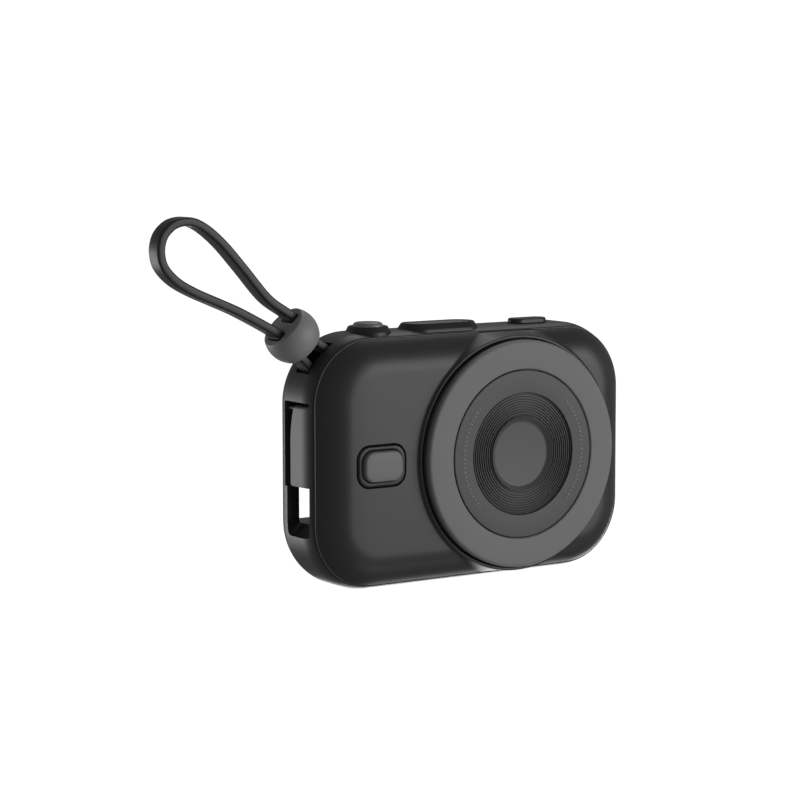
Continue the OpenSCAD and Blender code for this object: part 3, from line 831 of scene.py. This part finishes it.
def end_tree(tree, source, sink, last):
    """Ends a geometry tree: instances made real, then the material."""
    solid = tree.nodes.new("GeometryNodeRealizeInstances")
    tree.links.new(last.outputs[0], solid.inputs[0])
    paint = tree.nodes.new("GeometryNodeSetMaterial")
    tree.links.new(solid.outputs[0], paint.inputs["Geometry"])
    tree.links.new(source.outputs["Material"], paint.inputs["Material"])
    tree.links.new(paint.outputs[0], sink.inputs[0])


def run_tree(obj, tree, values):
    """Runs a geometry tree on an object and keeps its result as a plain mesh."""
    mod = obj.modifiers.new("tree", "NODES")
    mod.node_group = tree
    for item in tree.interface.items_tree:
        if item.in_out == "INPUT" and item.name in values:
            mod[item.identifier] = values[item.name]
    bake_modifiers(obj)
    obj.data.polygons.foreach_set("use_smooth", [True] * len(obj.data.polygons))


def repeated_rings():
    """Concentric round rings, each a pitch wider than the last."""
    tree, source, sink = geometry_tree(
        "concentric_ridges",
        {
            "Count": "Int",
            "First radius": "Float",
            "Pitch": "Float",
            "Thickness": "Float",
            "Centre": "Vector",
            "Material": "Material",
        },
    )
    nodes, links = tree.nodes, tree.links
    spots = nodes.new("GeometryNodeMeshLine")
    spots.inputs["Offset"].default_value = (0, 0, 0)
    links.new(source.outputs["Count"], spots.inputs["Count"])
    circle = nodes.new("GeometryNodeCurvePrimitiveCircle")
    circle.inputs["Resolution"].default_value = 192
    circle.inputs["Radius"].default_value = 1.0
    index = nodes.new("GeometryNodeInputIndex")
    pitch, first = source.outputs["Pitch"], source.outputs["First radius"]
    step = maths(tree, "MULTIPLY_ADD", index.outputs[0], pitch, first)
    place = nodes.new("GeometryNodeInstanceOnPoints")
    links.new(spots.outputs["Mesh"], place.inputs["Points"])
    links.new(circle.outputs["Curve"], place.inputs["Instance"])
    links.new(step, place.inputs["Scale"])
    real = nodes.new("GeometryNodeRealizeInstances")
    links.new(place.outputs[0], real.inputs[0])
    section = nodes.new("GeometryNodeCurvePrimitiveCircle")
    section.inputs["Resolution"].default_value = 8
    links.new(source.outputs["Thickness"], section.inputs["Radius"])
    skin = nodes.new("GeometryNodeCurveToMesh")
    links.new(real.outputs[0], skin.inputs["Curve"])
    links.new(section.outputs["Curve"], skin.inputs["Profile Curve"])
    turn = nodes.new("GeometryNodeTransform")
    turn.inputs["Rotation"].default_value = (math.radians(90), 0, 0)
    links.new(skin.outputs["Mesh"], turn.inputs["Geometry"])
    links.new(source.outputs["Centre"], turn.inputs["Translation"])
    end_tree(tree, source, sink, turn)
    return tree


def ticks_on_an_arc():
    """Small flat bars at equal angles round a centre, in the plane of the face."""
    tree, source, sink = geometry_tree(
        "printed_ticks",
        {
            "Count": "Int",
            "Radius": "Float",
            "Start": "Float",
            "Step": "Float",
            "Size": "Vector",
            "Centre": "Vector",
            "Material": "Material",
        },
    )
    nodes, links = tree.nodes, tree.links
    line = nodes.new("GeometryNodeMeshLine")
    line.inputs["Offset"].default_value = (0, 0, 0)
    links.new(source.outputs["Count"], line.inputs["Count"])
    index = nodes.new("GeometryNodeInputIndex")
    step, start = source.outputs["Step"], source.outputs["Start"]
    angle = maths(tree, "MULTIPLY_ADD", index.outputs[0], step, start)
    ways = nodes.new("ShaderNodeCombineXYZ")
    links.new(maths(tree, "COSINE", angle), ways.inputs["X"])
    links.new(maths(tree, "SINE", angle), ways.inputs["Z"])
    spot = nodes.new("ShaderNodeVectorMath")
    spot.operation = "SCALE"
    links.new(ways.outputs[0], spot.inputs[0])
    links.new(source.outputs["Radius"], spot.inputs["Scale"])
    put = nodes.new("GeometryNodeSetPosition")
    links.new(line.outputs["Mesh"], put.inputs["Geometry"])
    links.new(spot.outputs[0], put.inputs["Position"])
    turn = nodes.new("ShaderNodeCombineXYZ")
    links.new(maths(tree, "MULTIPLY", angle, -1.0), turn.inputs["Y"])
    bar = nodes.new("GeometryNodeMeshCube")
    links.new(source.outputs["Size"], bar.inputs["Size"])
    place = nodes.new("GeometryNodeInstanceOnPoints")
    links.new(put.outputs[0], place.inputs["Points"])
    links.new(bar.outputs["Mesh"], place.inputs["Instance"])
    links.new(turn.outputs[0], place.inputs["Rotation"])
    move = nodes.new("GeometryNodeTransform")
    links.new(place.outputs[0], move.inputs["Geometry"])
    links.new(source.outputs["Centre"], move.inputs["Translation"])
    end_tree(tree, source, sink, move)
    return tree


# ---- buttons and top row ----


class BuildControls(bpy.types.Operator):
    """Build the front button, the shutter, the display and the oval button"""

    bl_idname = "powerbank.controls"
    bl_label = "Controls"

    def execute(self, context):
        look = context.scene.bank_finishes
        trim = finish("trim_satin", look.trim, 0.42, bump=0.04)
        self.front_key(look, trim)
        self.shutter(look, trim)
        self.display(trim)
        low, high = node_box("oval_button")
        centre = ((low.x + high.x) / 2, (low.y + high.y) / 2)
        l, w = high.x - low.x, high.y - low.y
        levels = edge_levels(high.z, low.z + 2.4, 0.45, -1, flat=1.2)
        oval = pillow("oval_key_cap", centre, l, w, w / 2, levels, "top")
        shade(oval, 60)
        settle(oval, "oval_key", "trim_black", trim, "oval_button")
        return {"FINISHED"}

    def front_key(self, look, trim):
        low, high = node_box("front_button")
        centre = ((low.x + high.x) / 2, (low.z + high.z) / 2)
        levels = edge_levels(low.y, FACE_Y + 2.2, 0.6, 1, flat=2.0, crown=0.03)
        key = pillow("front_key_cap", centre, high.x - low.x, high.z - low.z, 2.7, levels, "front")
        shade(key, 60)
        grey = finish("key_moulding", look.key, 0.5, bump=0.05)
        settle(key, "front_key", "key_grey", grey, "front_button")
        rings = []
        inner = (high.x - low.x + 0.3, high.z - low.z + 0.3, 2.85)
        low, high = node_box("front_button_bezel")
        outer = (KEY_HOLE[0] - 0.5, KEY_HOLE[1] - 0.5, 3.35)
        face = low.y
        for w, h, r, y in (
            (*inner, FACE_Y + 2.3),
            (*inner, face + 0.5),
            (inner[0] + 0.1, inner[1] + 0.1, inner[2] + 0.05, face + 0.18),
            (inner[0] + 0.5, inner[1] + 0.5, inner[2] + 0.25, face + 0.02),
            (inner[0] + 0.8, inner[1] + 0.8, inner[2] + 0.3, face),
            (outer[0] - 0.9, outer[1] - 0.9, outer[2] - 0.45, face),
            (outer[0] - 0.5, outer[1] - 0.5, outer[2] - 0.25, face + 0.06),
            (outer[0] - 0.16, outer[1] - 0.16, outer[2] - 0.08, face + 0.26),
            (*outer, face + 0.55),
            (*outer, FACE_Y + 2.3),
        ):
            rings.append([(u, y, v) for u, v in outline_at(*centre, w, h, r)])
        bezel = loft("front_key_bezel", rings, closed=True)
        shade(bezel, 35)
        settle(bezel, "root", "trim_black", trim, "front_button_bezel")

    def shutter(self, look, trim):
        low, high = node_box("shutter_collar")
        centre = ((low.x + high.x) / 2, (low.y + high.y) / 2, 0)
        bore = 3.95
        foot, top = (high.x - low.x) / 2, 5.0
        profile = [(bore, TOP_Z - 0.9), (bore, high.z - 0.7), (bore + 0.1, high.z - 0.35)]
        profile += [(bore + 0.3, high.z - 0.1), (bore + 0.5, high.z - 0.02)]
        profile += [(top - 0.4, high.z), (top - 0.16, high.z - 0.07)]
        profile += [(top, high.z - 0.24), (top + 0.12, high.z - 0.5), (top + 0.28, high.z - 0.85)]
        profile += [(foot - 0.22, TOP_Z + 0.28), (foot, TOP_Z + 0.08), (foot, TOP_Z - 0.9)]
        collar = turned("shutter_ring", profile, centre, "z")
        shade(collar, 40)
        settle(collar, "root", "trim_black", trim, "shutter_collar")
        low, high = node_box("shutter_button")
        r = (high.x - low.x) / 2
        profile = [(0.02, high.z), (1.2, high.z - 0.01), (2.0, high.z - 0.04)]
        soft = 1.15
        for i in range(11):
            t = math.radians(9 * i)
            drop = 0.06 + soft * (1 - math.cos(t))
            profile.append((r - soft + soft * math.sin(t), high.z - drop))
        profile += [(r, TOP_Z + 0.7), (1.6, TOP_Z + 0.66), (1.6, low.z), (0.02, low.z)]
        cap = turned_solid("shutter_cap", profile, centre, "z")
        shade(cap, 50)
        paint = finish("cap_paint", look.cap, 0.34, bump=0.03, metal=0.35)
        settle(cap, "shutter", "shutter_satin", paint, "shutter_button")

    def display(self, trim):
        low, high = node_box("display_bezel")
        centre = ((low.x + high.x) / 2, (low.y + high.y) / 2)
        l, w = high.x - low.x, high.y - low.y
        rings = []
        for shrink, z in (
            (1.62, TOP_Z - 0.9),
            (1.62, high.z - 0.4),
            (1.55, high.z - 0.1),
            (1.42, high.z - 0.01),
            (1.12, high.z),
            (0.98, high.z - 0.05),
            (0.88, high.z - 0.16),
            (0.36, TOP_Z + 0.55),
            (0.12, TOP_Z + 0.2),
            (0.0, TOP_Z + 0.04),
            (0.0, TOP_Z - 0.9),
        ):
            size = (l - 2 * shrink, w - 2 * shrink, w / 2 - shrink)
            rings.append([(u, v, z) for u, v in outline_at(*centre, *size, 20)])
        bezel = loft("display_rim", rings, closed=True)
        shade(bezel, 40)
        settle(bezel, "root", "trim_black", trim, "display_bezel")
        low, high = node_box("display_window")
        l, w = high.x - low.x, high.y - low.y
        levels = edge_levels(high.z, low.z, 0.08, -1, steps=3, flat=2.5)
        window = pillow("display_pane", centre, l, w, w / 2, levels, "top")
        gloss = finish("smoked_pane", (0.008, 0.008, 0.009), 0.12, bump=0.0, coat=0.6)
        settle(window, "root", "display_gloss", gloss, "display_window")


# ---- port door ----


class BuildDoor(bpy.types.Operator):
    """Build the port door with its barrel"""

    bl_idname = "powerbank.door"
    bl_label = "Port door"

    def execute(self, context):
        low, high = node_box("port_door")
        look = context.scene.bank_finishes
        body = context.scene.bank_body
        pin_low, pin_high = node_box("door_pin")
        pin = (pin_low + pin_high) / 2
        bend, sweep, soft = 37.0, 26.0, 0.7
        top = high.z
        side = [(low.y, low.z), (high.y - soft, low.z)]
        side += arc(high.y - soft, low.z + soft, soft, -75, 0, 6)
        for i in range(15):
            z = bend + (top - bend) * i / 14
            side.append((high.y - sweep + math.sqrt(sweep**2 - (z - bend) ** 2), z))
        side.append((low.y, top))
        door = prism("port_cover", side, -HALF_W - 1, high.x, "x")
        inset = 0.15
        rings = []
        for i in range(19):
            y = low.y - 1.0 + (high.y + 2.0 - low.y) * i / 18
            depth = max(FACE_Y + body.front_round - y, 0.0)
            pull = body.front_round - math.sqrt(body.front_round**2 - depth**2)
            rings.append(body_ring(inset + pull, y, body.corner))
        cut(door, loft("skin", rings), "INTERSECT")
        trim = box_mesh("above", (pin.x - 3, low.y - 1, pin.z), (pin.x + 3, high.y + 1, pin.z + 4))
        cut(trim, disc_y("barrel", pin.x, pin.z, 1.1, low.y - 2, high.y + 2, 64))
        cut(door, trim)
        cut(door, disc_y("bore", pin.x, pin.z, 0.54, low.y - 1, high.y + 1, 32))
        shade(door, 40)
        skin = finish("door_moulding", look.shell, 0.42, bump=0.05)
        settle(door, "door", "door_matte", skin, "port_door")
        return {"FINISHED"}


# ---- strap and bead ----

# Centre line of the strap, (x, z) in millimetres, from under the bridge and back.
STRAP_ROUTE = [
    (-36.3, 52.9), (-35.6, 54.7), (-36, 56.8), (-37.7, 58.4), (-41.8, 61.4), (-44, 63.4),
    (-46.3, 65.4), (-48.5, 67.4), (-50.3, 69), (-56.1, 72.9), (-62.7, 80.2), (-68.2, 86.1),
    (-73, 90), (-76.9, 91.7), (-80.7, 91.4), (-83.3, 89.7), (-84.7, 87.5), (-85.1, 84.4),
    (-84.1, 81.1), (-80.9, 77.8), (-76.1, 75.1), (-69.5, 72.3), (-63.5, 69.7), (-54.1, 64.8),
    (-52.3, 63.2), (-50.1, 61.2), (-47.9, 59.1), (-45.6, 57.1), (-42.2, 53.3), (-40.4, 51.8),
    (-38.3, 51.6), (-36.8, 52.4),
]


def smooth_route(route, steps):
    """Smooth curve through the route's points."""
    points = []
    last = len(route) - 1
    for i in range(last):
        p0, p1, p2, p3 = (Vector(route[max(0, min(last, i + k))]) for k in (-1, 0, 1, 2))
        for k in range(steps):
            t = k / steps
            square = (2 * p0 - 5 * p1 + 4 * p2 - p3) * t * t
            cube = (3 * p1 - p0 - 3 * p2 + p3) * t**3
            points.append(0.5 * (2 * p1 + (p2 - p0) * t + square + cube))
    points.append(Vector(route[-1]))
    return points


class BuildStrap(bpy.types.Operator):
    """Build the flat silicone strap and the bead on it"""

    bl_idname = "powerbank.strap"
    bl_label = "Strap and bead"

    def execute(self, context):
        scene = context.scene
        size, look = scene.bank_strap, scene.bank_finishes
        line = smooth_route(STRAP_ROUTE, 6)
        section = rounded_outline(size.width, size.thick, 0.55, 4)
        rings = []
        for i, p in enumerate(line):
            step = line[min(i + 1, len(line) - 1)] - line[max(i - 1, 0)]
            step.normalize()
            rings.append([(p.x - step.y * v, STRAP_Y + u, p.y + step.x * v) for u, v in section])
        strap = loft("wrist_strap", rings)
        shade(strap, 50)
        silicone = finish("strap_rubber", look.strap, 0.42, grain=2600, bump=0.03, drift=0.1)
        settle(strap, "root", "strap_silicone", silicone, "strap")
        bead = self.bead(scene)
        return {"FINISHED"}

    def bead(self, scene):
        """Barrel-shaped bead with two slots for the strap's runs."""
        size = scene.bank_strap
        bx, bz = bridge_centre(scene.bank_body.corner)
        inner, outer, radius = size.bead_in, size.bead_out, size.bead
        start = math.degrees(math.asin((0.3 - inner) / radius))
        stop = math.degrees(math.asin((outer - 0.12) / radius))
        end_in, end_out = (math.sqrt(radius**2 - h**2) for h in (inner, outer))
        profile = [(0.02, -inner), (end_in - 0.7, -inner), (end_in - 0.35, -inner)]
        profile.append((end_in - 0.1, -inner + 0.08))
        profile += arc(0, 0, radius, start, stop, 32)
        profile += [(end_out - 0.03, outer - 0.03), (end_out - 0.14, outer)]
        profile += [(end_out - 0.4, outer - 0.03), (end_out - 0.55, outer - 0.06)]
        profile.append((0.02, outer - 0.06))
        rings = []
        sides = 128
        for r, h in profile:
            ring = []
            for i in range(sides):
                t = 2 * math.pi * i / sides
                x, z = on_strap(bx, bz, BEAD_PLACE + h, r * math.sin(t))
                ring.append((x, STRAP_Y + r * math.cos(t), z))
            rings.append(ring)
        bead = loft("strap_bead", rings)
        slack = 0.6
        outline = rounded_outline(size.width + slack, size.thick + slack, 0.7, 6)
        levels = [(-inner - 0.02, 0.3), (-inner + 0.4, 0.0)]
        levels += [(outer - 0.5, 0.0), (outer + 0.02, 0.22)]
        for side in (-1, 1):
            slot_rings = []
            for h, grow in levels:
                ring = []
                for u, v in outline:
                    k = 1 + grow / math.hypot(u, v)
                    x, z = on_strap(bx, bz, BEAD_PLACE + h, side * size.gap + v * k)
                    ring.append((x, STRAP_Y + u * k, z))
                slot_rings.append(ring)
            cut(bead, loft("bead_slot", slot_rings))
        shade(bead, 40)
        matte = finish("bead_moulding", scene.bank_finishes.bead, 0.48, bump=0.05)
        return settle(bead, "bead", "bead_matte", matte, "bead")


# ---- inside ----

INSIDE = {
    "magnet_ring": ("nickel_plate", (0.62, 0.61, 0.58), 0.25, 1.0),
    "magnet_yoke": ("rolled_steel", (0.42, 0.42, 0.43), 0.4, 1.0),
    "charging_coil": ("coil_copper", (0.55, 0.25, 0.1), 0.35, 1.0),
    "ferrite_sheet": ("sintered_ferrite", (0.06, 0.06, 0.065), 0.7, 0.2),
    "front_switch": ("switch_steel", (0.5, 0.5, 0.5), 0.35, 0.9),
    "top_switches": ("switch_steel", (0.5, 0.5, 0.5), 0.35, 0.9),
    "display_lights": ("light_pane", (0.75, 0.77, 0.8), 0.3, 0.0),
    "button_board": ("solder_mask", (0.01, 0.07, 0.035), 0.35, 0.0),
    "main_board": ("solder_mask", (0.01, 0.07, 0.035), 0.35, 0.0),
    "board_chips": ("chip_epoxy", (0.02, 0.02, 0.02), 0.5, 0.0),
    "power_inductor": ("sintered_ferrite", (0.06, 0.06, 0.065), 0.7, 0.2),
    "usb_socket_shell": ("drawn_steel", (0.5, 0.5, 0.51), 0.28, 1.0),
    "usb_socket_tongue": ("chip_epoxy", (0.02, 0.02, 0.02), 0.5, 0.0),
    # The door pin's near-black colour is painted shade: it stands in for the dark line over the
    # door's top and keeps the pin's end from glinting.
    "door_pin": ("pin_painted_shade", (0.02, 0.02, 0.021), 0.5, 0.3),
    "door_seal": ("seal_moulding", (0.015, 0.015, 0.015), 0.7, 0.0),
    "battery_cell_front": ("pouch_foil", (0.5, 0.51, 0.53), 0.32, 0.8),
    "battery_cell_rear": ("pouch_foil", (0.5, 0.51, 0.53), 0.32, 0.8),
    "cell_foam": ("foam_skin", (0.02, 0.02, 0.02), 0.9, 0.0),
    "battery_tray": ("tray_moulding", (0.03, 0.03, 0.032), 0.5, 0.0),
    "tray_screws": ("zinc_plate", (0.45, 0.45, 0.47), 0.3, 1.0),
    "base_pads": ("seal_moulding", (0.015, 0.015, 0.015), 0.7, 0.0),
}


class DressInside(bpy.types.Operator):
    """Give the inner pieces their finishes"""

    bl_idname = "powerbank.inside"
    bl_label = "Inner pieces"

    def execute(self, context):
        for node, (name, base, rough, metal) in INSIDE.items():
            material = finish(name, base, rough, grain=1800, bump=0.04, metal=metal)
            dress(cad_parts[node], material)
        return {"FINISHED"}


# ---- stage ----


# Name, angle from the front towards the right, lift, distance, size (metres), power (watts).
LAMPS = (
    ("key_box", 36, 6, 1.2, (0.9, 0.7), 6.6),
    ("back_right", 138, -28, 1.2, (0.7, 0.7), 5.0),
    ("back_left", -146, -12, 1.2, (0.7, 0.6), 4.6),
    ("front_low", 30, -45, 1.2, (0.7, 0.4), 0.6),
    ("top_box", 140, 50, 1.2, (0.6, 0.5), 1.6),
)


# Angles of the camera round and above the object, and its roll (degrees); its place to the
# right, above and back from the middle of the face (metres).
CAMERA_LENS = 115.9
CAMERA_ANGLES = (-33.95, 6.33, -0.10)
CAMERA_PLACE = (-0.0205, 0.01396, 0.6438)


def direction(turn, rise):
    """Unit vector away from the object, from an angle round it and a lift in radians."""
    flat = math.cos(rise)
    return Vector((math.sin(turn) * flat, -math.cos(turn) * flat, math.sin(rise)))


def soft_box(name, angle, lift, distance, size, power):
    """Area light round the object, aimed at its middle and unseen by the camera."""
    lamp = bpy.data.lights.new(name, "AREA")
    lamp.shape = "RECTANGLE"
    lamp.size, lamp.size_y = size
    lamp.energy = power
    obj = bpy.data.objects.new(name, lamp)
    bpy.context.scene.collection.objects.link(obj)
    obj.visible_camera = False
    away = direction(math.radians(angle), math.radians(lift))
    place = Vector((0, 0, MID_Z * MM)) + away * distance
    aim = (-away).to_track_quat("-Z", "Y").to_matrix().to_4x4()
    obj.matrix_world = Matrix.Translation(place) @ aim


def studio_air():
    """White backdrop for the camera and a dim even fill for everything else."""
    world = bpy.data.worlds.new("studio")
    world.use_nodes = True
    nodes, links = world.node_tree.nodes, world.node_tree.links
    path = nodes.new("ShaderNodeLightPath")
    level = nodes.new("ShaderNodeMapRange")
    level.inputs["To Min"].default_value = 0.17
    level.inputs["To Max"].default_value = 1.05
    links.new(path.outputs["Is Camera Ray"], level.inputs["Value"])
    links.new(level.outputs["Result"], nodes["Background"].inputs["Strength"])
    nodes["Background"].inputs["Color"].default_value = (1, 1, 1, 1)
    return world


def pale_floor():
    """Near-white floor that takes a faint shadow."""
    material = bpy.data.materials.new("pale_floor")
    material.use_nodes = True
    shader = material.node_tree.nodes["Principled BSDF"]
    shader.inputs["Base Color"].default_value = (0.3, 0.3, 0.3, 1)
    shader.inputs["Roughness"].default_value = 0.9
    shader.inputs["Specular IOR Level"].default_value = 0.0
    shader.inputs["Emission Color"].default_value = (1, 1, 1, 1)
    shader.inputs["Emission Strength"].default_value = 1.0
    return material


class BuildStage(bpy.types.Operator):
    """Set up the camera, the floor and the soft lights"""

    bl_idname = "powerbank.stage"
    bl_label = "Stage"

    def execute(self, context):
        scene = context.scene
        camera = bpy.data.cameras.new("view_camera")
        camera.lens = CAMERA_LENS
        camera.sensor_width = 36
        camera.clip_start = 0.05
        camera.clip_end = 20
        holder = bpy.data.objects.new("view_camera", camera)
        scene.collection.objects.link(holder)
        azimuth, elevation, roll = (math.radians(v) for v in CAMERA_ANGLES)
        back = direction(azimuth, elevation)
        level = Vector((math.cos(azimuth), math.sin(azimuth), 0))
        upright = back.cross(level)
        right = level * math.cos(roll) + upright * math.sin(roll)
        up = upright * math.cos(roll) - level * math.sin(roll)
        centre = Vector((0, FACE_Y, MID_Z)) * MM
        across, above, away = CAMERA_PLACE
        place = centre + right * across + up * above + back * away
        turn = Matrix((right, up, back)).transposed().to_4x4()
        holder.matrix_world = Matrix.Translation(place) @ turn
        scene.camera = holder

        span, drop = 3000.0, -0.02
        points = [(span * x, span * y, drop) for x, y in ((-1, -1), (1, -1), (1, 1), (-1, 1))]
        floor = mesh_from("floor", points, [(0, 1, 2, 3)])
        dress(floor, pale_floor())
        floor.visible_diffuse = False
        floor.visible_glossy = False
        floor.visible_shadow = False
        scene.world = studio_air()
        for name, angle, lift, distance, size, power in LAMPS:
            soft_box(name, angle, lift, distance, size, power)
        scene.view_settings.view_transform = "Standard"
        return {"FINISHED"}


# ---- add-on parts ----


class BankPanel(bpy.types.Panel):
    """Lists the power bank's build steps"""

    bl_idname = "VIEW3D_PT_power_bank"
    bl_label = "Power bank"
    bl_space_type = "VIEW_3D"
    bl_region_type = "UI"
    bl_category = "Power bank"

    def draw(self, context):
        for step in STEPS:
            self.layout.operator(step.bl_idname)


SETTINGS = {
    "bank_body": BodySizes,
    "bank_pad": PadSizes,
    "bank_strap": StrapSizes,
    "bank_finishes": Finishes,
}
STEPS = (BuildStage, BuildShells, BuildPad, BuildControls, BuildDoor, BuildStrap, DressInside)


def register():
    """Registers the settings, steps and panel."""
    for name, kind in SETTINGS.items():
        bpy.utils.register_class(kind)
        setattr(bpy.types.Scene, name, bpy.props.PointerProperty(type=kind))
    for step in (*STEPS, BankPanel):
        bpy.utils.register_class(step)


def unregister():
    """Removes the settings, steps and panel."""
    for step in reversed((*STEPS, BankPanel)):
        bpy.utils.unregister_class(step)
    for name, kind in SETTINGS.items():
        delattr(bpy.types.Scene, name)
        bpy.utils.unregister_class(kind)


def main():
    register()
    bpy.ops.powerbank.stage()
    bpy.ops.powerbank.shells()
    bpy.ops.powerbank.pad()
    bpy.ops.powerbank.controls()
    bpy.ops.powerbank.door()
    bpy.ops.powerbank.strap()
    bpy.ops.powerbank.inside()


if __name__ == "__main__":
    main()
